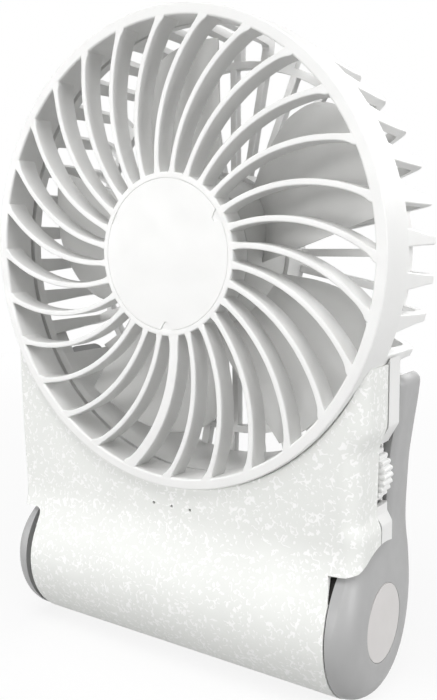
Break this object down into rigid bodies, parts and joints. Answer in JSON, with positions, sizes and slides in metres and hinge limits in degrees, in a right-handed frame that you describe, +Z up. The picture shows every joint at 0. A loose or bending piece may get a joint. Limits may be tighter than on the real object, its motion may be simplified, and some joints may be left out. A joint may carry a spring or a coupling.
{
  "type": "folding battery fan",
  "caption": "Folding battery fan: caged impeller on a flat body with a battery barrel, an edge speed dial and a stand hinged on the barrel's axis.",
  "frame": {"origin": "on the ground under the middle of the battery barrel, with the stand folded against the back", "axes": "+Z up through the fan head, +Y to the back, along the way that the air is drawn in from, +X to the side with the speed dial"},
  "size_m": [0.105, 0.0346, 0.1477],
  "materials": {
    "white_plastic": "satin white moulding",
    "shell_plastic": "off-white moulding with a fine fleck",
    "grey_plastic": "satin light grey moulding",
    "pale_plastic": "satin pale grey moulding",
    "dark_plastic": "black moulding",
    "clear_plastic": "clear light pipe",
    "circuit_board": "green solder mask",
    "battery_wrap": "blue shrink wrap over a metal can",
    "steel": "plain steel",
    "laminations": "stacked steel sheets",
    "ferrite": "dull grey-black ferrite",
    "bronze": "plain bronze",
    "copper": "enamelled copper wire",
    "fibre": "brown pressed fibre"
  },
  "bodies": {
    "housing": {"front_grille": "white_plastic", "hub_badge": "white_plastic", "rear_grille": "white_plastic", "front_shell": "shell_plastic", "rear_shell": "shell_plastic", "main_board": "circuit_board", "shell_screw_1": "steel", "shell_screw_2": "steel", "shell_screw_3": "steel", "shell_screw_4": "steel", "light_pipe_1": "clear_plastic", "light_pipe_2": "clear_plastic", "light_pipe_3": "clear_plastic", "charge_socket": "steel", "dial_control": "dark_plastic", "bearing_tube": "bronze", "sleeve_bearing": "bronze", "stator_core": "laminations", "motor_board": "circuit_board", "motor_coil_1": "copper", "motor_coil_2": "copper", "motor_coil_3": "copper", "motor_coil_4": "copper", "battery_cell": "battery_wrap", "positive_contact": "steel", "negative_contact": "steel", "friction_washer_right": "fibre", "friction_washer_left": "fibre"},
    "rotor": {"impeller": "white_plastic", "rotor_yoke": "steel", "rotor_magnet": "ferrite", "motor_shaft": "steel", "shaft_clip": "steel"},
    "dial": {"speed_dial": "white_plastic"},
    "stand": {"stand_frame": "grey_plastic", "stand_cover": "grey_plastic", "pivot_cap_right": "pale_plastic", "pivot_cap_left": "pale_plastic", "hinge_screw_right": "steel", "hinge_screw_left": "steel", "hinge_nut_right": "steel", "hinge_nut_left": "steel"}
  },
  "joints": [
    {"name": "impeller_spin", "type": "hinge", "parent": "housing", "child": "rotor", "pos_m": [0, 0, 0.0952], "axis": [0, -1, 0], "continuous": true},
    {"name": "speed_dial_turn", "type": "hinge", "parent": "housing", "child": "dial", "pos_m": [0.0403, 0, 0.0492], "axis": [0, 1, 0], "range_deg": [0, 270]},
    {"name": "stand_fold", "type": "hinge", "parent": "housing", "child": "stand", "pos_m": [0, 0, 0.0173], "axis": [-1, 0, 0], "range_deg": [0, 180]}
  ]
}
